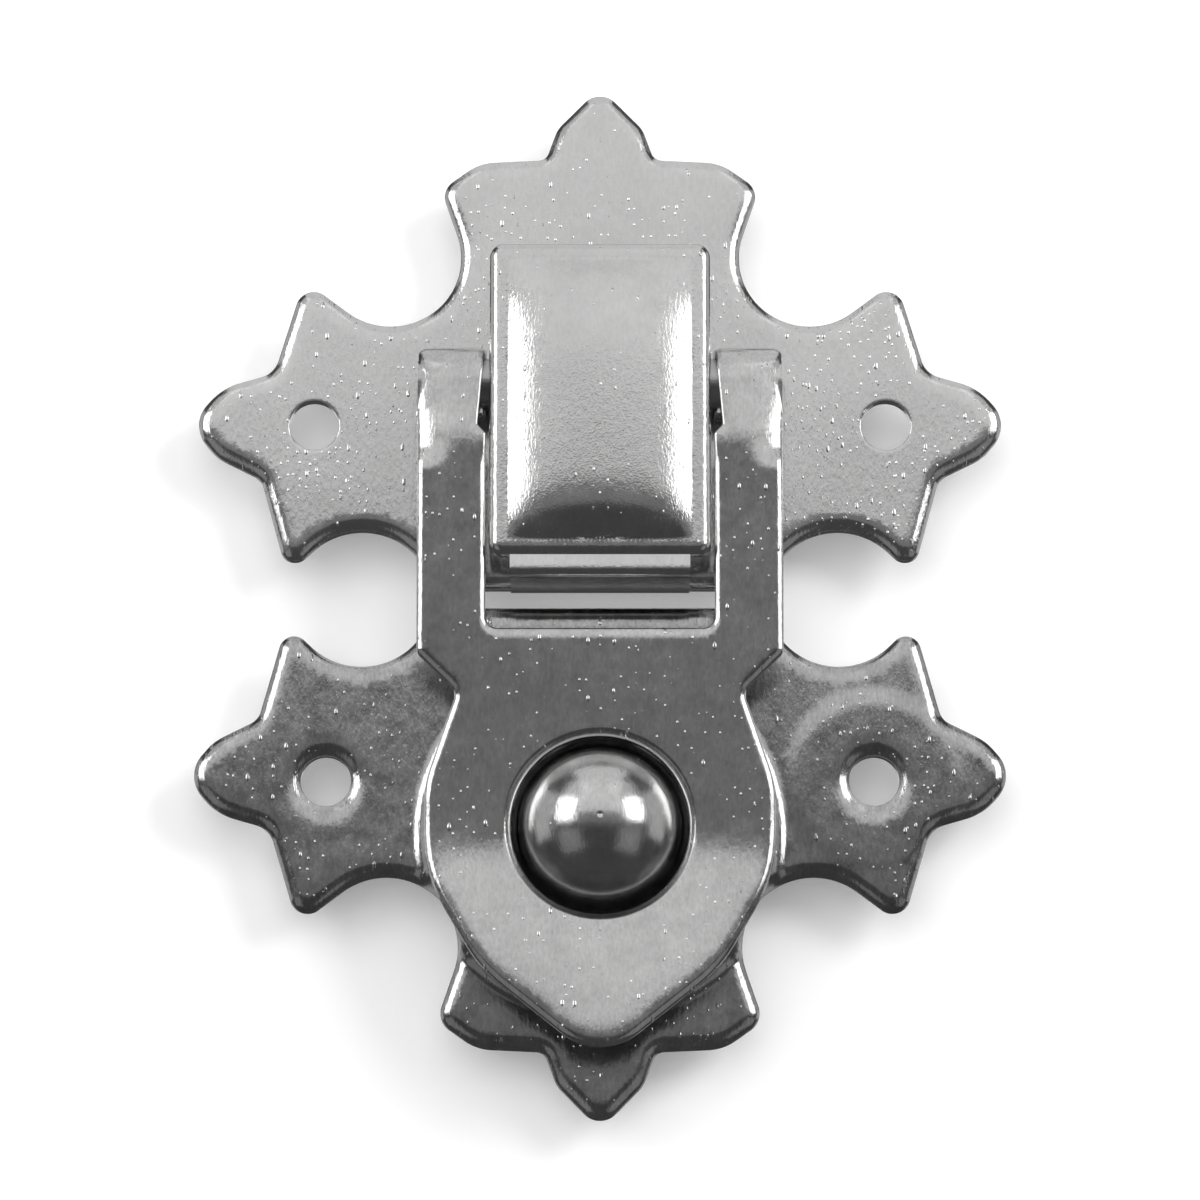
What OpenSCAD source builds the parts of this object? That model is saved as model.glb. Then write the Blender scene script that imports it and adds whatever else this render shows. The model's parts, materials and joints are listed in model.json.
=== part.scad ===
// Spring hasp with catch plate, closed.  Both plates stand upright with their backs on the plane y = 0,
// their faces look along -Y and +Z is up.  The origin is midway between the upper plate's screw holes.
// Flat shapes are drawn in x (right) and y (up), with z as the height off the wall; upright() stands them up.

/* [Plates] */
// Thickness of the plates' sheet
plate_t = 0.6; // [0.5:0.05:0.8]
// Distance from the upper plate's middle to its side tips
plate_reach = 20.1; // [19.8:0.1:20.4]
// Distance between the upper plate's screw holes
upper_screw_gap = 28.7; // [28:0.1:30]
// Radius of the upper plate's screw holes
upper_screw_r = 1.25; // [1.1:0.01:1.6]
// Distance between the catch plate's screw holes
catch_screw_gap = 27.2; // [26.5:0.1:28.5]
// Radius of the catch plate's screw holes
catch_screw_r = 1.25; // [1:0.01:1.5]
// Distance from the upper screw line down to the catch plate's screw line
catch_drop = 18.1; // [17.8:0.1:18.4]

/* [Cover] */
// Width of the cover
cover_w = 11; // [10.8:0.1:11]
// Height of the cover's rim off the wall
cover_h = 4.9; // [4.9:0.1:5.2]
// Rise of the cover's pillow above its rim
pillow_rise = 0.85; // [0.5:0.05:1.1]
// Width of the rim round the pillow
rim_w = 0.8; // [0.6:0.1:1]
// Thickness of the cover's sheet
cover_t = 0.55; // [0.45:0.05:0.6]

/* [Hinge] */
// Height of the pin's axis off the wall
pin_h = 2.85; // [2.85:0.05:2.95]
// Height of the pin's axis above the screw line
pin_up = 1.55; // [1.4:0.05:1.7]
// Radius of the hinge pin
pin_r = 1.3; // [1.2:0.05:1.3]
// Clearance of the pin in the cover's side walls
pin_gap = 0.05; // [0.03:0.01:0.08]
// Depth of the flat that the leaf spring bears on
flat_cut = 0.35; // [0.25:0.05:0.35]
// Thickness of the leaf spring
leaf_t = 0.3; // [0.25:0.05:0.3]

/* [Hasp] */
// Thickness of the hasp's sheet
hasp_t = 0.8; // [0.7:0.05:0.85]
// Width over the hasp's arms
hasp_w = 18.1; // [17.8:0.1:18.3]
// Width of the window between the arms
window_w = 11.3; // [11.3:0.1:11.5]
// Angle by which the shut hasp leans towards the wall
hasp_lean = 4; // [3.8:0.1:4.1]
// Angle by which the finger tip is bent away from the wall
tip_bend = 10; // [6:1:14]
// Radius of the hole that drops over the stud
hole_r = 4.4; // [4.35:0.05:4.6]

/* [Catch] */
// Distance from the catch plate's screw line down to the stud's axis
stud_drop = 2.7; // [2.6:0.1:2.8]
// Radius of the stud's ball
ball_r = 3.95; // [3.8:0.05:4]
// Height of the ball's centre off the wall
ball_h = 2.4; // [2.3:0.1:2.6]
// Height of the boss's crest off the wall
crest_h = 2.55; // [2.3:0.05:2.6]

/* [Hidden] */
$fn = 96;
arc_step = 9;                       // degrees of arc between two points of a rounded corner
far = 60;                           // larger than anything here

catch_y = -catch_drop;              // screw line of the catch plate
stud_y = catch_y - stud_drop;       // axis of the boss and the stud
blank_shift = 0.45;                 // the catch plate's blank sits this much above its screw line

cover_top = 8.4;                    // ends of the cover
cover_bottom = -7.6;
flap_w = 8.9;                       // bottom flap, narrower than the cover
flap_drop = 1;
pin_half = 8.9;                     // half the pin's length
leaf_w = 8.4;                       // width of the leaf spring
leaf_half = 6.1;                    // half its length
leaf_gap = 0.03;                    // between the leaf's crown and the pin's flat
barrel_r = pin_r + hasp_t;          // outside of the arms' rolled ends
sheet_mid = pin_r + hasp_t / 2;     // middle of the hasp's sheet, from the pin's axis
hole_u = (stud_y - pin_up + sheet_mid * sin(hasp_lean)) / cos(hasp_lean);
bend_u = hole_u - 0.4;              // line of the tip's bend, along the sheet

foot_r = 9.4;                       // boss: foot, crest, and edge of its dished middle
crest_r = 6.9;
dish_r = 5.25;
dish_h = 1.6;
rivet_r = 2;                        // shank of the stud through the boss
tail_r = 2.9;                       // its upset tail
flange_r = 5.2;                     // flange of the stud in the dish
flange_h = 0.25;
neck_r = 1.2;                       // hollow curve from the flange up to the ball

nickel = [0.75, 0.75, 0.74];
nickel_dark = [0.55, 0.55, 0.55];
steel = [0.45, 0.46, 0.48];

// ---- outlines -------------------------------------------------------------------------------------------

function unit(v) = v / norm(v);

// points of corner p between its neighbours a and b, rounded with radius p[2]
function corner(a, p, b) =
    let(at = [p[0], p[1]], u = unit([a[0], a[1]] - at), v = unit([b[0], b[1]] - at),
        half = acos(u * v) / 2, turn = 90 - half, r = p[2],
        hub = at + unit(u + v) * r / sin(half),
        side = sign(u[0] * v[1] - u[1] * v[0]),
        first = atan2(-(u + v)[1], -(u + v)[0]),
        steps = max(1, ceil(2 * turn / arc_step)))
    r == 0 ? [at]
    : [for (i = [0:steps]) let(t = first + side * turn * (1 - 2 * i / steps)) hub + r * [cos(t), sin(t)]];

// closed outline through corners [x, y, radius]
function rounded(pts) =
    let(n = len(pts)) [for (i = [0:n - 1]) each corner(pts[(i + n - 1) % n], pts[i], pts[(i + 1) % n])];

// right half of a shape, from its top to its bottom, with its mirror image
function both_sides(right) =
    concat(right, [for (i = [len(right) - 1:-1:0]) if (right[i][0] > 0) [-right[i][0], right[i][1], right[i][2]]]);

// right half of the ornamental blank: top leaf, shoulder, neck, side leaf, lower neck, straight foot
blank_right = [
    [0, 17.8, 1.1], [2.15, 15.6, 1.5], [2.75, 13.95, 0.6], [6.1, 13.8, 2.6], [8.05, 12.4, 1],
    [3.5, -1, 3.55], [14.95, 7.65, 0.9], [16.4, 2.8, 1.3], [plate_reach - 1.1, 2.05, 3],
    [plate_reach + 0.57, 0.15, 1.6], [plate_reach - 0.9, -1.6, 2.5], [17, -2.7, 1],
    [15.65, -7.6, 0.75], [8.3, -0.55, 3.6], [8.3, -8.4, 0.2]];

// right half of the hasp from above its rolled end: arm, waist, round belly and pointed finger tip
hasp_right = [
    [hasp_w / 2, 3, 0.9], [hasp_w / 2, -13.7, 0.4], [7.05, -15.65, 0.8], [8.62, -20.2, 5],
    [8.62, -24.7, 7], [5.9, -29.35, 7], [0, -34.1, 3]];

window_pts = [
    [window_w / 2, 4, 0], [window_w / 2, -12.5, 0.6], [-window_w / 2, -12.5, 0.6], [-window_w / 2, 4, 0]];

// height of the boss's face at radius r
function boss_h(r) =
    r > crest_r
        ? plate_t + (crest_h - plate_t) * (1 + cos(180 * (r - crest_r) / (foot_r - crest_r))) / 2
        : dish_h + (crest_h - dish_h) * (1 + cos(180 * (crest_r - r) / (crest_r - dish_r))) / 2;

// section of the cover: rounded edge, flat rim and arched pillow over half-width w, mirrored
function pillow_section(w, top, rise, rim) =
    let(edge = 0.5, span = w - rim,
        side = concat(
            [[w, 0], [w, top - edge]],
            [for (t = [18:18:90]) [w - edge + edge * cos(t), top - edge + edge * sin(t)]],
            [for (t = [0:6:84]) [span * cos(t), top + rise * sin(t)]]))
    concat(side, [[0, top + rise]], [for (i = [len(side) - 1:-1:0]) [-side[i][0], side[i][1]]]);

// ---- helpers --------------------------------------------------------------------------------------------

module upright() rotate([90, 0, 0]) children();

module along_x(from, to, r) translate([from, 0, 0]) rotate([0, 90, 0]) cylinder(r = r, h = to - from);

module blank() polygon(rounded(both_sides(blank_right)));

module screw_holes(gap, r) for (s = [-1, 1]) translate([s * gap / 2, 0]) circle(r = r);

// the pin's axis, with the sheet of the shut hasp along -y
module hasp_place() translate([0, pin_up, pin_h]) rotate([hasp_lean, 0, 0]) children();

// solid of the cover's outside, or of its hollow when inset
module pillow(inset) {
    long = cover_top - cover_bottom;
    intersection() {
        translate([0, cover_top - inset, 0]) rotate([90, 0, 0]) linear_extrude(long + far)
            polygon(pillow_section(cover_w / 2 - inset, cover_h - inset, pillow_rise, rim_w));
        translate([-far / 2, cover_bottom + long / 2, 0]) rotate([90, 0, 90]) linear_extrude(far)
            polygon(pillow_section(long / 2 - inset, cover_h - inset, pillow_rise, rim_w));
    }
}

// ---- sub-parts ------------------------------------------------------------------------------------------

module upper_plate() color(nickel) upright()
    linear_extrude(plate_t) difference() {
        blank();
        screw_holes(upper_screw_gap, upper_screw_r);
    }

module cover() color(nickel) upright() difference() {
    intersection() {
        union() {
            pillow(0);
            translate([-flap_w / 2, cover_bottom - flap_drop, 0]) cube([flap_w, flap_drop + 1, cover_h - 0.15]);
        }
        translate([-far / 2, -far / 2, plate_t]) cube(far);
    }
    pillow(cover_t);
    translate([-flap_w / 2 + cover_t, cover_bottom - flap_drop + cover_t, 0])
        cube([flap_w - 2 * cover_t, flap_drop + 1, cover_h - 0.15 - cover_t]);
    translate([0, pin_up, pin_h]) along_x(-far / 2, far / 2, pin_r + pin_gap);
}

module leaf_spring() color(steel) upright() {
    crown = pin_h - pin_r + flat_cut - leaf_gap;
    rise = crown - leaf_t - plate_t;
    inner_r = (leaf_half * leaf_half + rise * rise) / (2 * rise);
    intersection() {
        translate([0, pin_up, crown - leaf_t - inner_r]) difference() {
            along_x(-leaf_w / 2, leaf_w / 2, inner_r + leaf_t);
            along_x(-leaf_w, leaf_w, inner_r);
        }
        translate([-far / 2, pin_up - leaf_half, plate_t]) cube([far, 2 * leaf_half, far]);
    }
}

module hinge_pin() color(steel) upright() translate([0, pin_up, pin_h]) difference() {
    along_x(-pin_half, pin_half, pin_r);
    translate([-leaf_w / 2 - 0.3, -pin_r, -pin_r - 1]) cube([leaf_w + 0.6, 2 * pin_r, 1 + flat_cut]);
}

// outline of the hasp seen square on: the arms run up past the rolled ends, the window is open at the top
module hasp_blank() difference() {
    polygon(rounded(both_sides(hasp_right)));
    polygon(rounded(window_pts));
    translate([0, hole_u]) circle(r = hole_r);
}

// the bent strip seen from the side, x along the sheet and y across it: rolled end, body and bent tip
module hasp_side() {
    run = 12;
    out = run * tan(tip_bend);
    difference() {
        union() {
            circle(r = barrel_r);
            polygon([[0, pin_r], [0, barrel_r], [bend_u, barrel_r], [bend_u - run, barrel_r + out],
                [bend_u - run, pin_r + out], [bend_u, pin_r]]);
        }
        circle(r = pin_r);
    }
}

module hasp() color(nickel_dark) upright() hasp_place() intersection() {
    translate([-far / 2, 0, 0]) rotate([90, 0, 90]) linear_extrude(far) hasp_side();
    translate([0, 0, -far / 2]) linear_extrude(far) hasp_blank();
}

module catch_plate() color(nickel_dark) upright() {
    difference() {
        linear_extrude(plate_t) difference() {
            translate([0, catch_y + blank_shift]) mirror([0, 1]) blank();
            translate([0, catch_y]) screw_holes(catch_screw_gap, catch_screw_r);
        }
        translate([0, stud_y, -1]) cylinder(r = foot_r, h = far);
    }
    intersection() {
        translate([0, stud_y, 0]) rotate_extrude() {
            face = [for (i = [0:20]) let(r = dish_r + (foot_r - dish_r) * i / 20) [r, boss_h(r)]];
            polygon(concat([[rivet_r, dish_h]], face,
                [for (i = [20:-1:0]) [face[i][0], face[i][1] - plate_t]], [[rivet_r, dish_h - plate_t]]));
        }
        linear_extrude(far) translate([0, catch_y + blank_shift]) mirror([0, 1]) blank();
    }
}

module catch_stud() color(nickel) upright() translate([0, stud_y, 0]) rotate_extrude() {
    neck_x = flange_r - neck_r;
    neck_y = dish_h + flange_h + neck_r;
    join = asin((neck_y - ball_h) / ball_r);
    polygon(concat(
        [[0, 0.15], [tail_r - 0.3, 0.15], [tail_r, 0.45], [tail_r, dish_h - plate_t], [rivet_r, dish_h - plate_t],
         [rivet_r, dish_h], [flange_r, dish_h], [flange_r, dish_h + flange_h]],
        [for (t = [270:-9:189]) [flange_r + neck_r * cos(t), neck_y + neck_r * sin(t)]],
        [for (i = [0:20]) let(t = join + (90 - join) * i / 20) [ball_r * cos(t), ball_h + ball_r * sin(t)]]));
}

upper_plate();
cover();
leaf_spring();
hinge_pin();
hasp();
catch_plate();
catch_stud();
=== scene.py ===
"""Looks of a pressed-steel spring hasp with its catch plate, hung on a pale wall in soft studio light.

Flat shapes are drawn in millimetres: x to the right, y up, and a height off the wall.  Each sheet-metal
piece is one closed skin: a fine triangle mesh over its outline, with rolled front edges, a back and side
walls.  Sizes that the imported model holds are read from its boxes, mounts and joints.
"""
import json
import math

import bmesh
import bpy
import numpy as np
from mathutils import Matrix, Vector
from mathutils.geometry import delaunay_2d_cdt


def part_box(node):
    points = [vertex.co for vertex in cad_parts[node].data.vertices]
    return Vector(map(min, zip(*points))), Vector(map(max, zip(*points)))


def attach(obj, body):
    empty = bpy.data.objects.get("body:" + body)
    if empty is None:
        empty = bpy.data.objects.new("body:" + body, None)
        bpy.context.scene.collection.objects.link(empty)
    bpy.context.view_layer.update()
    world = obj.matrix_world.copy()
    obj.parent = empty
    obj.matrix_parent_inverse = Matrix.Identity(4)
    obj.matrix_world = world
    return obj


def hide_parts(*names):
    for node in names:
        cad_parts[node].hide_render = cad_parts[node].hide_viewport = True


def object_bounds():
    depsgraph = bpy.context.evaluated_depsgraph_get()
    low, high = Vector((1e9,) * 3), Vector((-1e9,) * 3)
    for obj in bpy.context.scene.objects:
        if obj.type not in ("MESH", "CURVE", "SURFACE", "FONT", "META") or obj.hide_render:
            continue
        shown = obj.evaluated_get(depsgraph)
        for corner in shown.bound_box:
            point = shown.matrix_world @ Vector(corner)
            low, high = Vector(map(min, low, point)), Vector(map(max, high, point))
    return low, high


MM = 0.001
ARC_STEP = 4            # degrees of arc between two points of a rounded corner
EDGE_STEP = 0.2         # mm between points along an edge
SHARP_ANGLE = 38        # degrees, above which an edge is not smoothed
ROW_SHARE = 0.94        # share of its distance from the edge that a point of a row must really have
GRID_SHARE = 0.55       # share of the spacing left free between the rows and the grid
TIP_PAST = 0.06         # mm that the side tips' rounds reach past the blank's measure

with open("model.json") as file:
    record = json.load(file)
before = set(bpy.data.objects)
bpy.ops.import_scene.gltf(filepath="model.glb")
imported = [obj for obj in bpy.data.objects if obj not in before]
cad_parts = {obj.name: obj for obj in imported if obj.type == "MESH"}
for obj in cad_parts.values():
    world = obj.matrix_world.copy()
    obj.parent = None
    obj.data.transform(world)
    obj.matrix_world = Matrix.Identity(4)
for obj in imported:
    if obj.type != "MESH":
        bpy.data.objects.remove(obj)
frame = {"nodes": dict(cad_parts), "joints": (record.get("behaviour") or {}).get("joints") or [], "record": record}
cad_box = [list(corner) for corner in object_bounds()]
record = frame["record"]
mounts = {mount["name"]: mount for mount in record["mounts"]}
swing = next(joint for joint in frame["joints"] if joint["name"] == "hasp_swing")


def size_of(node):
    """Lowest and highest corner of a node in millimetres, as x, up and height off the wall."""
    low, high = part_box(node)
    return ([low.x / MM, low.z / MM, -high.y / MM], [high.x / MM, high.z / MM, -low.y / MM])


# ---- sizes from the frame, in millimetres ---------------------------------------------------------------

plate_high = size_of("upper_plate")[1]
plate_t = plate_high[2]
plate_reach = plate_high[0] - TIP_PAST
catch_flip = plate_high[1] + size_of("catch_plate")[0][1]   # the catch plate is the same blank upside down
cover_low, cover_high = size_of("cover")
cover_half = cover_high[0]
cover_apex = cover_high[2]
hasp_half = size_of("hasp")[1][0]
stud_low, stud_high = size_of("catch_stud")
stud_y = (stud_low[1] + stud_high[1]) / 2
stud_apex = stud_high[2]
pin_half = size_of("hinge_pin")[1][0]
pin_up = swing["pos_m"][2] / MM
pin_h = -swing["pos_m"][1] / MM
upper_gap = mounts["upper_screws"]["dims"]["spacing_x_mm"]
upper_hole_r = mounts["upper_screws"]["dims"]["hole_r_mm"]
catch_gap = mounts["catch_screws"]["dims"]["spacing_x_mm"]
catch_hole_r = mounts["catch_screws"]["dims"]["hole_r_mm"]
catch_y = mounts["catch_screws"]["pos_m"][2] / MM

# ---- sizes that the boxes do not give -------------------------------------------------------------------

COVER_T = 0.55          # cover's sheet
COVER_RISE = 0.92       # pillow above the rim
COVER_RIM = 0.9         # width of the rim round the pillow
COVER_ROLL = 0.55       # width and depth of the rolled outer edge
COVER_CORNER = 0.7      # fillets of the box outside and inside, and of the pillow's foot
COVER_INNER = 0.3
COVER_FOOT = 0.05
COVER_FLAP_HALF = 4.45  # bottom flap's half width
COVER_FLAP = 1.0        # how far the flap reaches below the cover
FLAP_DROP = 0.15        # from the cover's rim back to the flap
FLAP_FOLD = 0.45        # radius of the flap's fold
FLAP_TUCK = 0.35        # how far the flap's front edge reaches in under the rim
PIN_R = 1.3
PIN_GAP = 0.05
PIN_FLAT = 0.35         # depth of the flat for the leaf spring
PIN_FLAT_HALF = 4.5
PIN_CHAMFER = 0.18
HASP_T = 0.8
HASP_LEAN = 4           # degrees
HASP_ROLL = 292         # degrees that the arms run round the pin
HASP_EDGE = 0.38        # width and slope of the hasp's rolled edge
HASP_SLOPE = 0.45
BELLY_FALL = 0.16       # extra fall towards the edge of the hasp's lower half
BELLY_WIDTH = 0.55
BELLY_RUN = 4           # along the sheet, over which that fall sets in
HOOD_FALL = 0.48        # fall of the flare at the outer corners of the arms' tops
HOOD_SLOPE = 0.085      # slope of the arms' faces close to the pin
HOOD_BEND = -3.75       # along the sheet, 0 at the pin's axis: where that slope sets in
FLARE_IN = (-4.6, -3.0)     # along the sheet: where the flare sets in
FLARE_WIDER = (-2.6, -0.8)  # where it spreads from the arms' outer part over more of their width
FLARE_OUT = (0.2, 2.7)      # where it fades, over the pin
FLARE_X = 7.0           # inner limit of the flare before it spreads, by FLARE_MORE
FLARE_MORE = 1.0
HOLE_R = 4.4
TIP_BEND = 11           # degrees
TIP_RUN = 3.2           # length over which the tip bends
WINDOW_HALF = 5.65
WINDOW_END = -12.5      # lower end of the window, along the sheet
PLATE_ROLL = 0.72       # width of the plates' rolled edges
PLATE_SLOPE = 0.5       # slope of the plates' rolled edges
PLATE_LIP = 0.17        # height of the small round at the very edge
FOOT_R = 9.4            # outer foot, crest and inner dish of the catch plate's boss
CREST_R = 6.9
CREST_H = 2.55
DISH_R = 5.25
DISH_H = 1.6
DIMPLE_DEPTH = 0.2      # sunk edge of the catch plate's screw holes
DIMPLE_WIDTH = 0.4
MARK_R = 4.3            # round press mark at the catch plate's right hole
MARK_H = 0.07
MARK_SOFT = 0.12        # softness of the mark's edge
RIVET_R = 2.0           # the stud's shank, riveted tail, flange, neck and ball
TAIL_R = 2.9
TAIL_ROUND = 0.3
TAIL_LIFT = 0.15        # from the wall to the tail
FLANGE_R = 5.2
FLANGE_H = 0.25
FLANGE_ROUND = 0.1
NECK_R = 1.2
BALL_R = 3.95

# Right halves of the plates' blank and of the hasp below its arms: x, y and fillet radius.
BLANK_RIGHT = [
    (0, 17.8, 1.1), (2.15, 15.6, 1.5), (2.75, 13.95, 0.6), (6.1, 13.8, 2.6), (8.05, 12.4, 1),
    (3.5, -1, 3.55), (14.95, 7.65, 0.9), (16.4, 2.8, 1.3), (plate_reach - 1.1, 2.05, 3),
    (plate_reach + 0.57, 0.15, 1.6), (plate_reach - 0.9, -1.6, 2.5), (17, -2.7, 1),
    (15.65, -7.6, 0.75), (8.3, -0.55, 3.6), (8.3, -8.4, 0.4)]
HASP_RIGHT = [
    (hasp_half, -13.7, 0.4), (7.05, -15.65, 0.8), (8.62, -20.2, 5), (8.62, -24.7, 7), (5.9, -29.35, 7),
    (0, -34.1, 3)]


# ---- outlines -------------------------------------------------------------------------------------------

def rounded(corners):
    """Points of a closed outline through corners (x, y, fillet radius)."""
    points = []
    count = len(corners)
    for i, (px, py, radius) in enumerate(corners):
        at = np.array([px, py], dtype=float)
        to_last = np.array(corners[i - 1][:2]) - at
        to_next = np.array(corners[(i + 1) % count][:2]) - at
        u = to_last / np.linalg.norm(to_last)
        v = to_next / np.linalg.norm(to_next)
        if radius == 0:
            points.append(at)
            continue
        half = math.acos(float(u @ v)) / 2
        turn = math.degrees(math.pi / 2 - half)
        middle = (u + v) / np.linalg.norm(u + v)
        hub = at + middle * radius / math.sin(half)
        side = math.copysign(1, u[0] * v[1] - u[1] * v[0])
        first = math.degrees(math.atan2(-middle[1], -middle[0]))
        steps = max(1, math.ceil(2 * turn / ARC_STEP))
        for k in range(steps + 1):
            angle = math.radians(first + side * turn * (1 - 2 * k / steps))
            points.append(hub + radius * np.array([math.cos(angle), math.sin(angle)]))
    return np.array(points)


def both_sides(right):
    """A right half from top to bottom, and its mirror image."""
    return list(right) + [(-x, y, r) for x, y, r in reversed(right) if x > 0]


def circle(x, y, radius, step):
    """Points of a circle, about a step apart."""
    count = max(24, round(2 * math.pi * radius / step))
    angles = np.linspace(0, 2 * math.pi, count, endpoint=False)
    return np.column_stack([x + radius * np.cos(angles), y + radius * np.sin(angles)])


def resampled(loop, step=EDGE_STEP):
    """The loop with its long edges divided."""
    points = []
    for a, b in zip(loop, np.roll(loop, -1, axis=0)):
        parts = max(1, math.ceil(np.linalg.norm(b - a) / step - 0.01))
        points += [a + (b - a) * k / parts for k in range(parts)]
    return np.array(points)


def counter_clockwise(loop):
    """The loop, turned round if it runs clockwise."""
    nxt = np.roll(loop, -1, axis=0)
    area = np.sum(loop[:, 0] * nxt[:, 1] - nxt[:, 0] * loop[:, 1])
    return loop if area > 0 else loop[::-1]


def inside(points, loop):
    """Even-odd test of points against a closed loop."""
    result = np.zeros(len(points), dtype=bool)
    for (ax, ay), (bx, by) in zip(loop, np.roll(loop, -1, axis=0)):
        if ay == by:
            continue
        crosses = (ay > points[:, 1]) != (by > points[:, 1])
        cut = ax + (points[:, 1] - ay) * (bx - ax) / (by - ay)
        result ^= crosses & (points[:, 0] < cut)
    return result


def edge_distance(points, loops):
    """Distance of every point to the nearest of the loops' edges."""
    best = np.full(len(points), np.inf)
    for loop in loops:
        for a, b in zip(loop, np.roll(loop, -1, axis=0)):
            along = b - a
            t = np.clip((points - a) @ along / (along @ along), 0, 1)
            gap = points - a - t[:, None] * along
            best = np.minimum(best, np.einsum("ij,ij->i", gap, gap))
    return np.sqrt(best)


# ---- skins ----------------------------------------------------------------------------------------------

class Patch:
    """Fine triangles over a flat region between an outline and its holes.

    rings and hole_rings are distances at which rows of points follow the outline and the holes.
    extra is a centre, a radius round it without grid points, and the points that go there instead.
    """

    def __init__(self, outline, holes=(), rings=(), hole_rings=(), spacing=0.35, extra=None):
        loops = [counter_clockwise(resampled(outline))] + [counter_clockwise(hole) for hole in holes]
        self.loops = loops
        rows = [self.offset_row(loops[0], ring, 1) for ring in rings]
        rows += [self.offset_row(loop, ring, -1) for loop in loops[1:] for ring in hole_rings]
        inner = self.grid(loops[0], spacing)
        if extra is not None:
            centre, reach, dots = extra
            inner = inner[np.linalg.norm(inner - centre, axis=1) > reach]
            inner = np.concatenate([inner, dots])
        inner = inner[self.covers(inner)]
        free = spacing * GRID_SHARE
        inner = inner[edge_distance(inner, loops[:1]) > max(rings, default=0) + free]
        if holes:
            inner = inner[edge_distance(inner, loops[1:]) > max(hole_rings, default=0) + free]
        edge = np.concatenate(loops)
        cloud = np.concatenate([edge] + rows + [inner])
        self.triangulate(cloud)

    @staticmethod
    def grid(loop, spacing):
        """Points of a triangular grid over the loop's box."""
        low, high = loop.min(axis=0), loop.max(axis=0)
        row_gap = spacing * math.sqrt(3) / 2
        dots = []
        for j, y in enumerate(np.arange(low[1], high[1], row_gap)):
            xs = np.arange(low[0] + (j % 2) * spacing / 2, high[0], spacing)
            dots.append(np.column_stack([xs, np.full(len(xs), y)]))
        return np.concatenate(dots)

    def covers(self, points):
        """Which points lie inside the outline and outside every hole."""
        keep = inside(points, self.loops[0])
        for hole in self.loops[1:]:
            keep &= ~inside(points, hole)
        return keep

    def offset_row(self, loop, ring, side):
        """Points a distance from a loop, without those that come too near another stretch of edge."""
        ahead = np.roll(loop, -1, axis=0) - loop
        ahead /= np.linalg.norm(ahead, axis=1)[:, None]
        behind = np.roll(ahead, 1, axis=0)
        mean = ahead + behind
        mean /= np.linalg.norm(mean, axis=1)[:, None]
        normal = np.column_stack([-mean[:, 1], mean[:, 0]]) * side
        row = loop + normal * ring
        row = row[self.covers(row)]
        return row[edge_distance(row, self.loops) > ROW_SHARE * ring]

    def triangulate(self, cloud):
        """Triangles between the cloud's points, which keep every edge of the loops."""
        edges = []
        start = 0
        for loop in self.loops:
            count = len(loop)
            edges += [(start + k, start + (k + 1) % count) for k in range(count)]
            start += count
        verts, _, faces, sources, _, _ = delaunay_2d_cdt(
            [Vector(point) for point in cloud], edges, [], 0, 1e-6)
        self.points = np.array([tuple(vert) for vert in verts])
        place = {source: k for k, group in enumerate(sources) for source in group}
        self.loop_ids = []
        start = 0
        for loop in self.loops:
            self.loop_ids.append([place[start + k] for k in range(len(loop))])
            start += len(loop)
        triangles = np.array(faces)
        middles = self.points[triangles].mean(axis=1)
        self.triangles = triangles[self.covers(middles)]
        self.edge = edge_distance(self.points, self.loops[:1])
        self.hole = edge_distance(self.points, self.loops[1:])


class Skin:
    """Collects points (x, y, height) and faces of one closed piece."""

    def __init__(self):
        self.points = []
        self.faces = []

    def face(self, patch, heights, back=False):
        """Adds a patch at its points' heights; returns the point numbers along its loops."""
        start = len(self.points)
        self.points += [(x, y, h) for (x, y), h in zip(patch.points, heights)]
        order = (0, 2, 1) if back else (0, 1, 2)
        self.faces += [tuple(int(start + triangle[k]) for k in order) for triangle in patch.triangles]
        return [[start + k for k in ids] for ids in patch.loop_ids]

    def wall(self, top, bottom):
        """Adds a band of faces between two closed rows."""
        count = len(top)
        for k in range(count):
            n = (k + 1) % count
            self.faces.append((top[k], bottom[k], bottom[n], top[n]))

    def row(self, loop, height):
        """Adds a loop's points at one height; returns their numbers."""
        start = len(self.points)
        self.points += [(x, y, height) for x, y in loop]
        return list(range(start, start + len(loop)))


def upright(x, y, h):
    """Place in metres of a point given as x, up and height off the wall."""
    return (x * MM, -h * MM, y * MM)


def make(name, points, faces, body, slot, nodes):
    """A closed, smooth-shaded piece that rides on a body and stands for CAD nodes."""
    mesh = bpy.data.meshes.new(name)
    mesh.from_pydata(points, [], faces)
    work = bmesh.new()
    work.from_mesh(mesh)
    bmesh.ops.remove_doubles(work, verts=work.verts, dist=0.001 * MM)
    loose = [vert for vert in work.verts if not vert.link_faces]
    bmesh.ops.delete(work, geom=loose, context="VERTS")
    bmesh.ops.recalc_face_normals(work, faces=work.faces)
    work.to_mesh(mesh)
    work.free()
    mesh.shade_smooth()
    mesh.set_sharp_from_angle(angle=math.radians(SHARP_ANGLE))
    piece = bpy.data.objects.new(name, mesh)
    bpy.context.scene.collection.objects.link(piece)
    piece.data.materials.append(MATERIALS[slot])
    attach(piece, body)
    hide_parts(*nodes)
    return piece


def roll_rings(width):
    """Distances from the edge for the rows of points over a rolled edge, closer together at the edge."""
    rows = []
    growth, widest = 1.35, 0.15
    gap = at = 0.025
    while at < width - gap / 2:
        rows.append(at)
        gap = min(growth * gap, widest)
        at += gap
    return rows + [width]


def bent(t, bend):
    """A straight line of slope 1 that starts with a bend."""
    t = np.clip(t, 0, None)
    return np.where(t < bend, t * t / (2 * bend), t - bend / 2)


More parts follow.
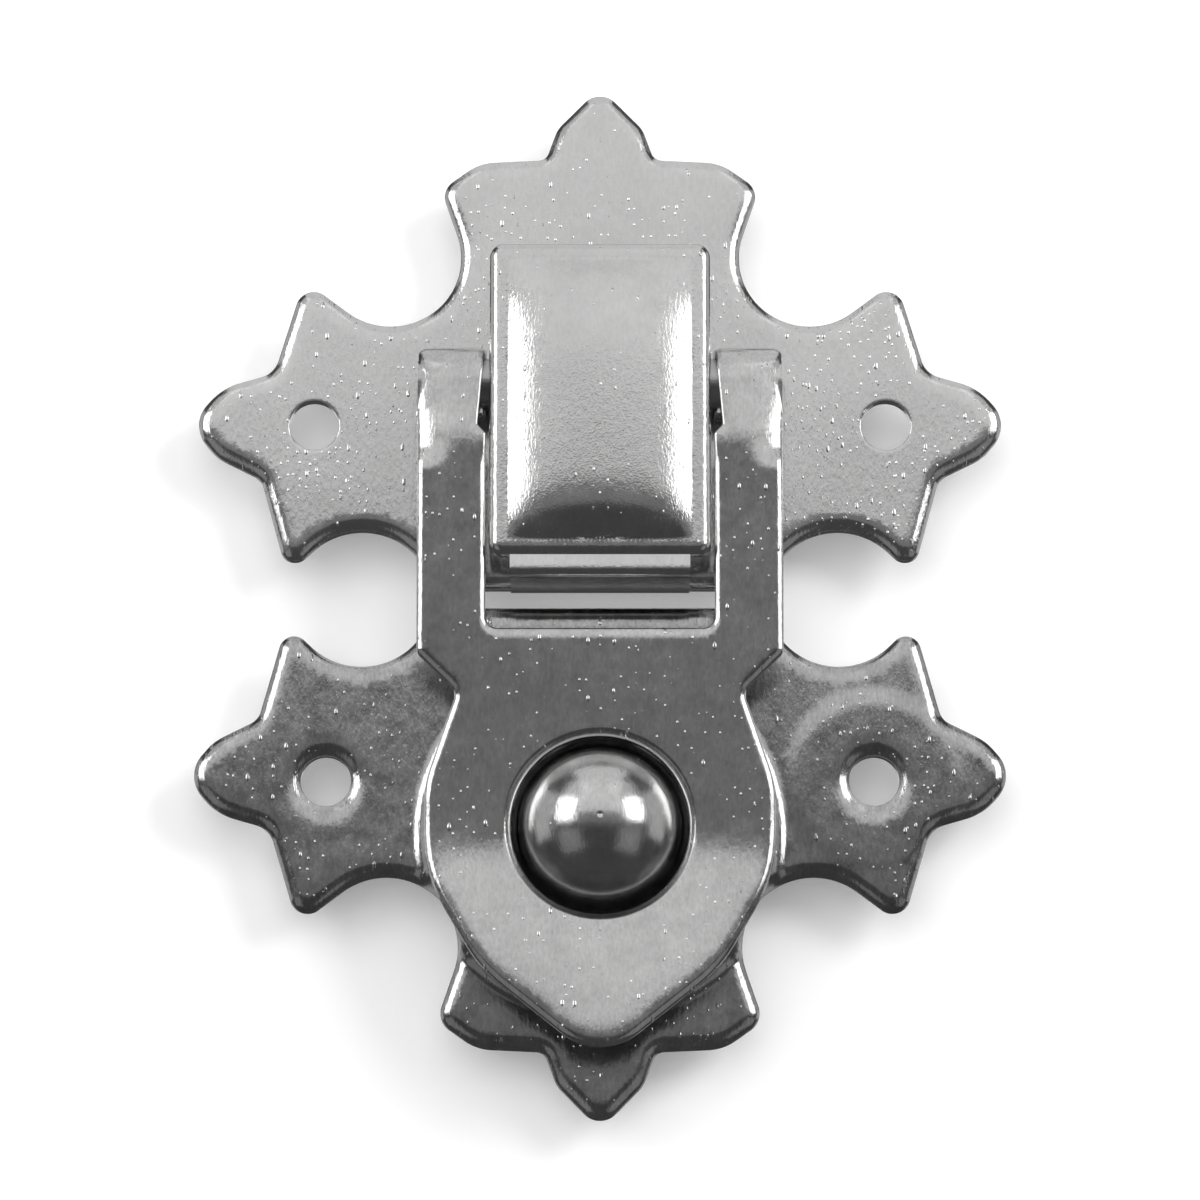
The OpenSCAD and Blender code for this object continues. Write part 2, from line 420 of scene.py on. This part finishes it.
def rounded_lip(edge, lip):
    """The small round at the very edge, which is wider than it is high."""
    width = 1.6 * lip
    end = np.clip(1 - edge / width, 0, 1)
    return lip * (1 - np.sqrt(1 - end * end))


def rolled(edge, width, slope, lip):
    """How far the face falls towards its edge: it bends down to a slope, keeps it, and ends in a round."""
    return slope * bent(width - edge, width / 3) + rounded_lip(edge, lip)


def soft_distance(points, loop, soft=0.14, step=0.04):
    """Distance from a loop, without a crease where two stretches of it are equally near.

    Every short piece of the loop gives a share that dies away with distance; the sum is read back as a
    distance by comparing it with the sum beside a straight edge."""
    fine = resampled(loop, step)
    ends = np.roll(fine, -1, axis=0)
    middles, lengths = (fine + ends) / 2, np.linalg.norm(ends - fine, axis=1)
    total = np.zeros(len(points))
    for middle, length in zip(middles, lengths):
        total += length * np.exp(-np.linalg.norm(points - middle, axis=1) / soft)
    farthest, piece = 12 * soft, soft / 20
    known = np.linspace(0, farthest, 120)
    along = np.arange(-farthest - 2 * soft, farthest + 2 * soft, piece)
    straight = np.exp(-np.hypot(known[:, None], along[None, :]) / soft).sum(axis=1) * piece
    return np.interp(-np.log(np.maximum(total, 1e-9)), -np.log(straight), known)


def plate_fall(patch):
    """Fall of a pressed plate's face towards its outline, which runs smoothly round the tips."""
    near = patch.edge < 2 * PLATE_ROLL
    distance = np.full(len(patch.points), 2 * PLATE_ROLL)
    distance[near] = soft_distance(patch.points[near], patch.loops[0])
    return PLATE_SLOPE * bent(PLATE_ROLL - distance, PLATE_ROLL / 2) + rounded_lip(patch.edge, PLATE_LIP)


def eased(values, low, high):
    """0 at low to 1 at high, with a soft start and end."""
    t = np.clip((values - low) / (high - low), 0, 1)
    return t * t * (3 - 2 * t)


# ---- pieces ---------------------------------------------------------------------------------------------

def half_wave(t):
    """1 at 0, falling to 0 at 1 along half a cosine wave."""
    return (1 + np.cos(np.pi * np.clip(t, 0, 1))) / 2


def boss_height(r):
    """Height of the catch plate's face at radius r from the stud's axis."""
    flank = plate_t + (CREST_H - plate_t) * half_wave((r - CREST_R) / (FOOT_R - CREST_R))
    dish = DISH_H + (CREST_H - DISH_H) * half_wave((CREST_R - r) / (CREST_R - DISH_R))
    return np.where(r > CREST_R, flank, dish)


def sheet(skin, patch, top, back):
    """Front, back and edge of a piece of sheet metal."""
    front_rows = skin.face(patch, top)
    back_rows = skin.face(patch, back, back=True)
    for front, rear in zip(front_rows, back_rows):
        skin.wall(front, rear)


def screw_circles(gap, y, radius):
    """The outlines of a plate's two screw holes."""
    return [circle(side * gap / 2, y, radius, 0.1) for side in (-1, 1)]


def upper_plate():
    """The ornamental plate that carries the hinge."""
    thinnest = 0.05
    patch = Patch(rounded(both_sides(BLANK_RIGHT)), screw_circles(upper_gap, 0, upper_hole_r),
                  roll_rings(PLATE_ROLL), roll_rings(0.3))
    fall = plate_fall(patch) + rolled(patch.hole, width=0.15, slope=0.1, lip=0.03)
    skin = Skin()
    sheet(skin, patch, plate_t - np.minimum(fall, plate_t - thinnest), np.zeros(len(patch.points)))
    points = [upright(*point) for point in skin.points]
    make("upper_plate_skin", points, skin.faces, "upper", "nickel_plate", ["upper_plate"])


def catch_plate():
    """The blank upside down, with a dished boss for the stud and a press mark at its right hole."""
    thinnest = 0.08
    boss_reach = FOOT_R + 0.4
    outline = rounded([(x, catch_flip - y, r) for x, y, r in both_sides(BLANK_RIGHT)])
    radii = np.arange(RIVET_R + 0.2, boss_reach, 0.17)
    dots = np.concatenate([circle(0, stud_y, radius, 0.24) for radius in radii])
    holes = screw_circles(catch_gap, catch_y, catch_hole_r) + [circle(0, stud_y, RIVET_R, 0.2)]
    extra = (np.array([0, stud_y]), boss_reach, dots)
    patch = Patch(outline, holes, roll_rings(PLATE_ROLL), roll_rings(0.7), extra=extra)
    radius = np.hypot(patch.points[:, 0], patch.points[:, 1] - stud_y)
    base = boss_height(radius)
    fall = plate_fall(patch)
    for side in (-1, 1):
        reach = np.hypot(patch.points[:, 0] - side * catch_gap / 2, patch.points[:, 1] - catch_y)
        fall += DIMPLE_DEPTH * np.exp(-((reach - catch_hole_r) / DIMPLE_WIDTH) ** 2)
    from_hole = np.hypot(patch.points[:, 0] - catch_gap / 2, patch.points[:, 1] - catch_y)
    off_boss = radius > FOOT_R - 0.2
    fall -= MARK_H / (1 + np.exp((from_hole - MARK_R) / MARK_SOFT)) * off_boss
    skin = Skin()
    sheet(skin, patch, base - np.minimum(fall, plate_t - thinnest), base - plate_t)
    points = [upright(*point) for point in skin.points]
    make("catch_plate_skin", points, skin.faces, "catch", "nickel_catch", ["catch_plate"])


def rounded_box(half_w, low, high, radius):
    """Outline of an upright box with round corners."""
    return rounded(both_sides([(half_w, high, radius), (half_w, low, radius)]))


def cover():
    """The pressed box over the hinge: a pillow inside a flat rim, thin walls and the bottom flap."""
    low, high = cover_low[1] + COVER_FLAP, cover_high[1]
    rim_h = cover_apex - COVER_RISE
    middle, half_l = (low + high) / 2, (high - low) / 2
    top_power, bottom_power, side_power = 4, 9, 2.2     # how squarely the pillow ends: high is square
    span_x, span_y = cover_half - COVER_RIM, half_l - COVER_RIM

    def top(points):
        ax = np.clip(np.abs(points[:, 0]) / span_x, 0, 1)
        ay = np.clip(np.abs(points[:, 1] - middle) / span_y, 0, 1)
        power = np.where(points[:, 1] > middle, top_power, bottom_power)
        return rim_h + COVER_RISE * (1 - ax ** side_power) * (1 - ay ** power)

    foot_rows = []
    for inset in (-0.1, -0.04, 0.0, 0.04, 0.1, 0.18, 0.28, 0.4, 0.54):
        ring = rounded_box(span_x - inset, middle - span_y + inset, middle + span_y - inset, COVER_FOOT)
        foot_rows.append(resampled(ring))
    extra = (np.array([0, middle]), 0, np.concatenate(foot_rows))
    skin = Skin()
    outline = rounded_box(cover_half, low, high, COVER_CORNER)
    outer = Patch(outline, rings=roll_rings(COVER_ROLL), spacing=0.22, extra=extra)
    inner_outline = rounded_box(cover_half - COVER_T, low + COVER_T, high - COVER_T, COVER_INNER)
    inner = Patch(inner_outline, spacing=0.4)
    shoulder = np.clip(1 - outer.edge / COVER_ROLL, 0, 1)
    top_rows = skin.face(outer, top(outer.points) - COVER_ROLL * (1 - np.sqrt(1 - shoulder ** 2)))
    under_rows = skin.face(inner, top(inner.points) - COVER_T, back=True)
    foot = skin.row(outer.loops[0], plate_t)
    inner_foot = skin.row(inner.loops[0], plate_t)
    skin.wall(top_rows[0], foot)
    skin.wall(inner_foot, under_rows[0])
    base = Patch(outer.loops[0], [inner.loops[0]], spacing=0.4)
    skin.face(base, np.full(len(base.points), plate_t), back=True)
    flap(skin, low, rim_h - FLAP_DROP)
    points = [upright(*point) for point in skin.points]
    piece = make("cover_shell", points, skin.faces, "upper", "nickel_plate", ["cover"])
    bore(piece, PIN_R + PIN_GAP)


def flap(skin, low, height):
    """The folded bottom flap: a bent strip whose front edge tucks under the cover's rim."""
    end = low - COVER_FLAP
    tuck = low + FLAP_TUCK
    section = [(tuck, height - 0.09), (low, height - 0.07), (low - 0.25, height - 0.03)]
    section += arc(end + FLAP_FOLD, height - FLAP_FOLD, FLAP_FOLD, 90, 180, 6)
    section += [(end, plate_t), (end + COVER_T, plate_t), (end + COVER_T, height - COVER_T)]
    section.append((tuck, height - COVER_T))
    ends = []
    for x in (-COVER_FLAP_HALF, COVER_FLAP_HALF):
        start = len(skin.points)
        skin.points += [(x, y, h) for y, h in section]
        ends.append(list(range(start, start + len(section))))
    skin.wall(ends[0], ends[1])
    skin.faces.append(tuple(ends[0]))
    skin.faces.append(tuple(reversed(ends[1])))


def bore(piece, radius):
    """Cuts the pin's holes through the cover's side walls."""
    cutter_mesh = bpy.data.meshes.new("cutter")
    work = bmesh.new()
    bmesh.ops.create_cone(work, cap_ends=True, segments=64, radius1=radius * MM, radius2=radius * MM,
                          depth=4 * cover_half * MM)
    along_x = Vector((1, 0, 0)).to_track_quat("Z", "Y").to_matrix()
    bmesh.ops.rotate(work, verts=work.verts, cent=(0, 0, 0), matrix=along_x)
    bmesh.ops.translate(work, verts=work.verts, vec=upright(0, pin_up, pin_h))
    work.to_mesh(cutter_mesh)
    work.free()
    cutter = bpy.data.objects.new("cutter", cutter_mesh)
    bpy.context.scene.collection.objects.link(cutter)
    cut = piece.modifiers.new("bore", "BOOLEAN")
    cut.object = cutter
    cut.operation = "DIFFERENCE"
    cut.solver = "EXACT"
    cut.use_self = True
    bpy.context.view_layer.update()
    shaped = bpy.data.meshes.new_from_object(piece.evaluated_get(bpy.context.evaluated_depsgraph_get()))
    piece.modifiers.clear()
    piece.data = shaped
    shaped.set_sharp_from_angle(angle=math.radians(SHARP_ANGLE))
    bpy.data.objects.remove(cutter)


def hasp_point(x, s, n):
    """Place of a point of the flat strip: s along it (0 at the pin's axis), n from its pin side."""
    mid = PIN_R + HASP_T / 2
    if s > 0:
        turn = s / mid
        along = (PIN_R + n) * math.sin(turn)
        out = (PIN_R + n) * math.cos(turn)
    else:
        along = s
        out = PIN_R + n + tip_rise(s)
    lean = math.radians(HASP_LEAN)
    y = pin_up + along * math.cos(lean) - out * math.sin(lean)
    h = pin_h + along * math.sin(lean) + out * math.cos(lean)
    return upright(x, y, h)


def hole_along():
    """Place of the stud's hole along the flat strip."""
    lean = math.radians(HASP_LEAN)
    return (stud_y - pin_up + (PIN_R + HASP_T / 2) * math.sin(lean)) / math.cos(lean)


def tip_rise(s):
    """How far the finger tip is bent off the sheet's line."""
    below = hole_along() + 0.6 - s
    slope = math.tan(math.radians(TIP_BEND))
    if below <= 0:
        return 0
    if below < TIP_RUN:
        return slope * below * below / (2 * TIP_RUN)
    return slope * (below - TIP_RUN / 2)


def hasp_outline():
    """Outline of the flat strip: both arms, the lower part and its tip, and the window between the arms."""
    end = math.radians(HASP_ROLL) * (PIN_R + HASP_T / 2)
    notch = [(WINDOW_HALF, 2.4, 1.0), (WINDOW_HALF + 0.42, -2.3, 0.15), (WINDOW_HALF + 0.02, -2.75, 0.2)]
    arm = [(WINDOW_HALF, end, 0.3), (hasp_half, end, 0.6)]
    window = [(-x, y, r) for x, y, r in notch]
    window += [(side * WINDOW_HALF, WINDOW_END, 0.6) for side in (-1, 1)]
    window += list(reversed(notch))
    return rounded(both_sides(arm + HASP_RIGHT) + window)


def hood_fall(x, s, edge_fall):
    """Fall over the arms' tops: the face sinks a little towards the pin, and flares down at its outer
    corners, where the rolled edge fades."""
    sink = HOOD_SLOPE * bent(np.minimum(s, 0) - HOOD_BEND, 1.3)
    start = FLARE_X - FLARE_MORE * eased(s, *FLARE_WIDER)
    across = np.clip((np.abs(x) - start) / (hasp_half - start), 0, 1)
    flare = eased(s, *FLARE_IN) * (1 - eased(s, *FLARE_OUT))
    return sink + flare * (HOOD_FALL * across ** 1.8 - 0.7 * edge_fall)


def hasp():
    """The forked sheet: rolled edges, arms bent round the pin, and a tip that falls towards its edge."""
    thinnest = 0.12
    hole = circle(0, hole_along(), HOLE_R, 0.2)
    patch = Patch(hasp_outline(), [hole], roll_rings(HASP_EDGE), roll_rings(0.45), 0.26)
    x, s = patch.points[:, 0], patch.points[:, 1]
    edge_fall = HASP_SLOPE * bent(HASP_EDGE - patch.edge, HASP_EDGE / 3)
    fall = edge_fall + rounded_lip(patch.edge, 0.08) + rolled(patch.hole, width=0.4, slope=0.55, lip=0.08)
    fall += hood_fall(x, s, edge_fall)
    belly = np.clip((hole_along() - s) / BELLY_RUN, 0, 1)
    fall += BELLY_FALL * belly * np.exp(-patch.edge / BELLY_WIDTH)
    skin = Skin()
    sheet(skin, patch, HASP_T - np.minimum(fall, HASP_T - thinnest), np.zeros(len(patch.points)))
    points = [hasp_point(*point) for point in skin.points]
    make("hasp_strip", points, skin.faces, "hasp", "nickel_hasp", ["hasp"])


def lathe(profile, segments, place):
    """A closed solid turned from a profile (radius, height) that starts and ends on the axis."""
    points = []
    rings = []
    for radius, height in profile:
        start = len(points)
        if radius == 0:
            points.append(place(0, 0, height))
            rings.append([start])
            continue
        for k in range(segments):
            angle = 2 * math.pi * k / segments
            points.append(place(radius * math.cos(angle), radius * math.sin(angle), height))
        rings.append(list(range(start, start + segments)))
    faces = []
    for low, high in zip(rings, rings[1:]):
        for k in range(segments):
            n = (k + 1) % segments
            if len(low) == 1:
                faces.append((low[0], high[k], high[n]))
            elif len(high) == 1:
                faces.append((low[k], high[0], low[n]))
            else:
                faces.append((low[k], high[k], high[n], low[n]))
    return points, faces


def arc(cx, cy, radius, start, end, steps):
    """Points of an arc between two angles in degrees."""
    angles = [math.radians(start + (end - start) * k / steps) for k in range(steps + 1)]
    return [(cx + radius * math.cos(angle), cy + radius * math.sin(angle)) for angle in angles]


def catch_stud():
    """The riveted ball stud, turned in one piece, with a small centre mark in its top."""
    ball_h = stud_apex - BALL_R
    neck_h = DISH_H + FLANGE_H + NECK_R
    join = math.degrees(math.asin((neck_h - ball_h) / BALL_R))
    under = DISH_H - plate_t
    shank = RIVET_R - 0.01
    tail_x = TAIL_R - TAIL_ROUND
    flange_x = FLANGE_R - FLANGE_ROUND
    profile = [(0, TAIL_LIFT), (tail_x, TAIL_LIFT)]
    profile += arc(tail_x, TAIL_LIFT + TAIL_ROUND, TAIL_ROUND, -90, 0, 4)
    profile += [(TAIL_R, under), (shank, under), (shank, DISH_H), (flange_x, DISH_H)]
    profile += arc(flange_x, DISH_H + 0.12, FLANGE_ROUND, -60, 75, 5)
    profile += arc(FLANGE_R, neck_h, NECK_R, 262, 190, 12)
    profile += arc(0, ball_h, BALL_R, join, 88.4, 56)
    profile += [(0.09, stud_apex - 0.012), (0.05, stud_apex - 0.05), (0, stud_apex - 0.06)]
    points, faces = lathe(profile, 192, lambda x, y, h: upright(x, stud_y + y, h))
    make("ball_stud", points, faces, "catch", "nickel_stud", ["catch_stud"])


def hinge_pin():
    """The pin, with chamfered ends and a flat for the leaf spring between the cover's walls."""
    cap = [PIN_R * k / 4 for k in range(4)] + [PIN_R - PIN_CHAMFER]
    steps = [PIN_FLAT_HALF, PIN_FLAT_HALF + 0.01, pin_half - PIN_CHAMFER]
    profile = [(radius, -pin_half) for radius in cap]
    profile += [(PIN_R, -x) for x in reversed(steps)] + [(PIN_R, x) for x in steps]
    profile += [(radius, pin_half) for radius in reversed(cap)]

    def place(a, b, x):
        if abs(x) <= PIN_FLAT_HALF:
            b = max(b, PIN_FLAT - PIN_R)
        return upright(x, pin_up + a, pin_h + b)

    points, faces = lathe(profile, 96, place)
    make("hinge_pin_turned", points, faces, "hasp", "pin_steel", ["hinge_pin"])


# ---- materials ------------------------------------------------------------------------------------------

class Graph:
    """Short form for building a node tree."""

    def __init__(self, name):
        self.material = bpy.data.materials.new(name)
        self.material.use_nodes = True
        self.tree = self.material.node_tree
        self.tree.nodes.clear()

    def add(self, kind, inputs=None, **settings):
        made = self.tree.nodes.new(kind)
        for key, value in settings.items():
            setattr(made, key, value)
        for key, value in (inputs or {}).items():
            if isinstance(value, bpy.types.NodeSocket):
                self.tree.links.new(value, made.inputs[key])
            else:
                made.inputs[key].default_value = value
        return made

    def grey(self, level, blue=1.0):
        """A grey of a level, whose blue channel is scaled by blue."""
        blue_level = self.math("MULTIPLY", level, blue)
        channels = {"Red": level, "Green": level, "Blue": blue_level}
        return self.add("ShaderNodeCombineColor", channels).outputs[0]

    def math(self, operation, a, b=0.0):
        return self.add("ShaderNodeMath", {0: a, 1: b}, operation=operation).outputs[0]

    def product(self, *factors):
        """All factors multiplied in turn."""
        result = factors[0]
        for factor in factors[1:]:
            result = self.math("MULTIPLY", result, factor)
        return result

    def ramp(self, value, low, high, out_low=0.0, out_high=1.0):
        """Straight line between two values, held beyond them."""
        made = self.add("ShaderNodeMapRange", {"Value": value, "From Min": low, "From Max": high,
                                               "To Min": out_low, "To Max": out_high}, clamp=True)
        return made.outputs["Result"]

    def millimetres(self, stretch=(1, 1, 1)):
        """The object's own coordinates in millimetres; a stretch above 1 makes a pattern finer that way."""
        place = self.add("ShaderNodeTexCoord").outputs["Object"]
        scale = tuple(value / MM for value in stretch)
        return self.add("ShaderNodeVectorMath", {0: place, 1: scale}, operation="MULTIPLY").outputs[0]

    def noise(self, place, per_mm, detail=2.0, rough=0.5):
        made = self.add("ShaderNodeTexNoise", {"Vector": place, "Scale": per_mm, "Detail": detail,
                                               "Roughness": rough})
        return made.outputs["Fac"]

    def bump(self, height, distance_mm, below=None):
        inputs = {"Height": height, "Distance": distance_mm * MM, "Strength": 1.0}
        if below is not None:
            inputs["Normal"] = below
        return self.add("ShaderNodeBump", inputs).outputs["Normal"]

    def finish(self, colour, roughness, normal, metallic=1.0):
        shader = self.add("ShaderNodeBsdfPrincipled", {"Base Color": colour, "Roughness": roughness,
                                                       "Normal": normal, "Metallic": metallic})
        self.add("ShaderNodeOutputMaterial", {"Surface": shader.outputs[0]})
        return self.material


def specks(graph, per_mm, size, share, tall=2.4):
    """Small pits, taller than wide and of uneven size: 1 in each pit, 0 elsewhere."""
    flat = graph.millimetres((1, 0, 1 / tall))
    quarter = {"Vector": flat, "Angle": math.pi / 2}
    turned = graph.add("ShaderNodeVectorRotate", quarter, rotation_type="X_AXIS").outputs[0]
    pattern = {"Vector": turned, "Scale": per_mm, "Randomness": 1.0}
    cells = graph.add("ShaderNodeTexVoronoi", pattern, voronoi_dimensions="2D")
    chosen, varied, _ = graph.add("ShaderNodeSeparateColor", {"Color": cells.outputs["Color"]}).outputs
    radius = graph.ramp(varied, 0, 1, size * per_mm * 0.5, size * per_mm * 1.2)
    pit = graph.ramp(graph.math("DIVIDE", cells.outputs["Distance"], radius), 1.0, 0.45)
    few = graph.math("LESS_THAN", chosen, share)
    return graph.math("MULTIPLY", pit, few)


def nickel(name, tone, roughness, grain=1.0, share=0.3, stain=0.05, drawn=0.0):
    """Nickel plate over pressed steel: fine grain, pits in loose groups, faint scratches and uneven gloss.

    Where drawn is 1, what stands more than 3 mm off the wall has a coarser grain and fewer pits, as a
    deep-drawn part has.  The plates' tops stay cleaner."""
    graph = Graph(name)
    place = graph.millimetres()
    _, along_y, height = graph.add("ShaderNodeSeparateXYZ", {"Vector": place}).outputs
    cloud = graph.noise(place, 0.16, 3.0)
    patches = graph.noise(place, 1.1, 4.0, 0.6)
    fine = graph.noise(graph.millimetres((1, 1, 0.38)), 7.5, 2.0, 0.6)
    wave = graph.noise(place, 0.12, 1.0)
    lines = graph.noise(graph.millimetres((6, 6, 0.35)), 1.0, 3.0, 0.7)

    # where the pits are: in groups, fewer near the top and on the deep-drawn part
    deep = graph.ramp(along_y, -2.4, -3.2, 0.0, drawn)
    groups = graph.ramp(graph.noise(place, 0.3, 2.0), 0.38, 0.62, 0.15, 1.9)
    clean = graph.ramp(height, 8.0, 12.5, 1.0, 0.2)
    shallow = graph.math("SUBTRACT", 1.0, graph.math("MULTIPLY", deep, 0.85))
    density = graph.product(groups, clean, share, shallow)
    pit = specks(graph, 1.6, 0.075, density, 2.4)
    tiny = specks(graph, 2.9, 0.045, graph.math("MULTIPLY", density, 1.5), 2.0)

    # relief, from broad to small, each with its depth in millimetres
    coarse = graph.math("MULTIPLY", graph.noise(place, 11.0, 1.0), deep)
    normal = None
    for relief, depth in ((wave, 0.05), (lines, 0.003), (fine, 0.009 * grain), (coarse, 0.005 * grain),
                          (tiny, 0.012), (pit, 0.02)):
        normal = graph.bump(relief, depth, normal)

    # colour and gloss
    shade = graph.ramp(cloud, 0.3, 0.7, 0.94, 1.04)
    mottle = graph.ramp(patches, 0.3, 0.7, 1.0 - stain, 1.0 + stain * 0.7)
    grime = graph.ramp(fine, 0.35, 0.65, 1.0 - stain * 0.5, 1.0 + stain * 0.5)
    level = graph.product(shade, mottle, grime, tone)
    rough = graph.ramp(patches, 0.3, 0.7, roughness * 0.85, roughness * 1.2)
    rough = graph.math("ADD", rough, graph.math("MULTIPLY", pit, 0.06))
    return graph.finish(graph.grey(level, 0.995), rough, normal)


def drawn_steel(name, tone, roughness):
    """Drawn wire or rolled strip: lines along x and a dull oiled surface."""
    graph = Graph(name)
    lines = graph.noise(graph.millimetres((0.4, 8, 8)), 1.0, 3.0, 0.7)
    cloud = graph.noise(graph.millimetres(), 0.5, 3.0)
    level = graph.math("MULTIPLY", graph.ramp(cloud, 0.3, 0.7, 0.85, 1.1), tone)
    normal = graph.bump(lines, 0.012)
    rough = graph.ramp(cloud, 0.3, 0.7, roughness * 0.8, roughness * 1.25)
    return graph.finish(graph.grey(level, 1.02), rough, normal)


MATERIALS = {
    "nickel_plate": nickel("nickel_plate", 0.74, 0.17, share=0.45, drawn=1.0),
    # The hasp and the catch plate are the same nickel as the plate and cover. Their lower tones (0.66 and 0.56
    # against 0.74) are painted shade: they stand in for the darker reflections their faces show.
    "nickel_hasp": nickel("nickel_hasp", 0.66, 0.18, grain=0.8, share=0.14, stain=0.12),
    "nickel_catch": nickel("nickel_catch", 0.56, 0.17, share=0.2, stain=0.16),
    "nickel_stud": nickel("nickel_stud", 0.7, 0.21, grain=0.8, share=0.03, stain=0.08),
    "pin_steel": drawn_steel("pin_steel", 0.55, 0.28),
    "spring_steel": drawn_steel("spring_steel", 0.35, 0.35),
}

upper_plate()
cover()
hasp()
catch_plate()
catch_stud()
hinge_pin()
leaf = frame["nodes"]["leaf_spring"]
leaf.data.materials.clear()
leaf.data.materials.append(MATERIALS["spring_steel"])
leaf.data.shade_smooth()


# ---- studio ---------------------------------------------------------------------------------------------

CENTRE = Vector(((cad_box[0][0] + cad_box[1][0]) / 2, 0, (cad_box[0][2] + cad_box[1][2]) / 2))
VIEW_UP = -12           # degrees of the camera's elevation
VIEW_DISTANCE = 0.30
LENS = 110              # focal length and sensor width in camera millimetres
SENSOR = 22.0
WALL_GAP = 2.5 * MM     # from the plates' backs to the wall
PAPER_HALF = 0.6        # half width of the wall and the floor
FLOOR_DROP = 0.12       # from the lowest point of the object to the floor
FRONT_UP = 0.324        # height of the large front card's middle
LOW_UP = 0.005          # height of the low front card's middle


def look(thing, at):
    """Turns a camera or a light towards a point."""
    thing.rotation_euler = (Vector(at) - thing.location).to_track_quat("-Z", "Y").to_euler()


def camera():
    """A long lens a little below the object, which looks up at its middle."""
    data = bpy.data.cameras.new("camera")
    data.lens = LENS
    data.sensor_width = SENSOR
    data.clip_start = 0.01
    made = bpy.data.objects.new("camera", data)
    tilt = math.radians(VIEW_UP)
    made.location = CENTRE + VIEW_DISTANCE * Vector((0, -math.cos(tilt), math.sin(tilt)))
    look(made, CENTRE)
    bpy.context.scene.collection.objects.link(made)
    bpy.context.scene.camera = made


def card(name, at, size, radiance, aim=None):
    """A softbox whose brightness doesn't depend on its size."""
    data = bpy.data.lights.new(name, "AREA")
    data.shape = "RECTANGLE"
    data.size, data.size_y = size
    data.energy = radiance * math.pi * size[0] * size[1]
    made = bpy.data.objects.new(name, data)
    made.location = at
    bpy.context.scene.collection.objects.link(made)
    look(made, aim if aim is not None else CENTRE)
    return made


def wall_material():
    """Pale paper that glows a little, so shadows stay light.  Only the camera sees it, from its front."""
    graph = Graph("paper")
    grain = graph.noise(graph.millimetres(), 2.0, 2.0)
    level = graph.ramp(grain, 0.3, 0.7, 0.86, 0.88)
    colour = graph.grey(level)
    matt = graph.add("ShaderNodeBsdfDiffuse", {"Color": colour})
    glow = graph.add("ShaderNodeEmission", {"Color": colour, "Strength": 0.22})
    paper = graph.add("ShaderNodeAddShader", {0: matt.outputs[0], 1: glow.outputs[0]})
    clear = graph.add("ShaderNodeBsdfTransparent")
    seen = graph.add("ShaderNodeLightPath").outputs["Is Camera Ray"]
    back = graph.add("ShaderNodeNewGeometry").outputs["Backfacing"]
    show = graph.math("MULTIPLY", seen, graph.math("SUBTRACT", 1.0, back))
    mixed = graph.add("ShaderNodeMixShader", {0: show, 1: clear.outputs[0], 2: paper.outputs[0]})
    graph.add("ShaderNodeOutputMaterial", {"Surface": mixed.outputs[0]})
    return graph.material


def sheet_of_paper(name, corners, material):
    """One flat sheet, which belongs to the studio and not to the object."""
    mesh = bpy.data.meshes.new(name)
    mesh.from_pydata(corners, [], [(0, 1, 2, 3)])
    mesh.materials.append(material)
    made = bpy.data.objects.new(name, mesh)
    bpy.context.scene.collection.objects.link(made)


def studio():
    """Wall, floor and cards.  A card that has no aim of its own looks at the object's middle."""
    half = PAPER_HALF
    floor_z = cad_box[0][2] - FLOOR_DROP
    paper = wall_material()
    foot = [(-half, WALL_GAP, floor_z), (half, WALL_GAP, floor_z)]
    top = [(half, WALL_GAP, half), (-half, WALL_GAP, half)]
    near = [(-half, WALL_GAP - 2 * half, floor_z), (half, WALL_GAP - 2 * half, floor_z)]
    sheet_of_paper("wall", foot + top, paper)
    sheet_of_paper("floor", near + foot[::-1], paper)
    card("front_card", (0, -0.40, FRONT_UP), (0.52, 0.50), 0.68, (0, 0, FRONT_UP))
    card("ceiling", (0, 0, 0.58), (0.6, 0.8), 0.62, (0, 0.001, 0))
    for side in (-1, 1):
        card(f"side_{side}", (side * 0.297, -0.241, 0.11), (0.185, 0.21), 3.0)
        card(f"far_side_{side}", (side * 0.42, 0.05, 0.08), (0.36, 0.4), 0.4)
        card(f"upper_side_{side}", (side * 0.27, -0.25, 0.36), (0.26, 0.2), 0.45)
        card(f"low_side_{side}", (side * 0.33, -0.31, -0.22), (0.3, 0.26), 0.17)
        card(f"back_side_{side}", (side * 0.34, 0.32, -0.1), (0.4, 0.4), 0.35)
    card("low_front", (0, -0.42, LOW_UP), (0.5, 0.09), 0.13, (0, 0, LOW_UP))
    for name, at, size, radiance in (("fill", (-0.1, -0.5, 0.1), (0.6, 0.6), 1.45),
                                     ("key", (0.3, -0.3, 0.16), (0.16, 0.16), 9.0)):
        card(name, at, size, radiance).visible_glossy = False
    card("back_card", (0, 0.45, 0.2), (0.5, 0.4), 0.7)


def surroundings():
    """A world that is pale where the camera sees it and dim for everything else."""
    world = bpy.data.worlds.new("world")
    world.use_nodes = True
    tree = world.node_tree
    tree.nodes.clear()
    path = tree.nodes.new("ShaderNodeLightPath")
    dim, pale = [tree.nodes.new("ShaderNodeBackground") for _ in range(2)]
    for background, grey in ((dim, 0.06), (pale, 0.95)):
        background.inputs["Color"].default_value = (grey, grey, grey, 1)
    mixed = tree.nodes.new("ShaderNodeMixShader")
    out = tree.nodes.new("ShaderNodeOutputWorld")
    tree.links.new(path.outputs["Is Camera Ray"], mixed.inputs[0])
    tree.links.new(dim.outputs[0], mixed.inputs[1])
    tree.links.new(pale.outputs[0], mixed.inputs[2])
    tree.links.new(mixed.outputs[0], out.inputs["Surface"])
    bpy.context.scene.world = world


studio()
surroundings()
camera()
bpy.context.scene.view_settings.view_transform = "Standard"
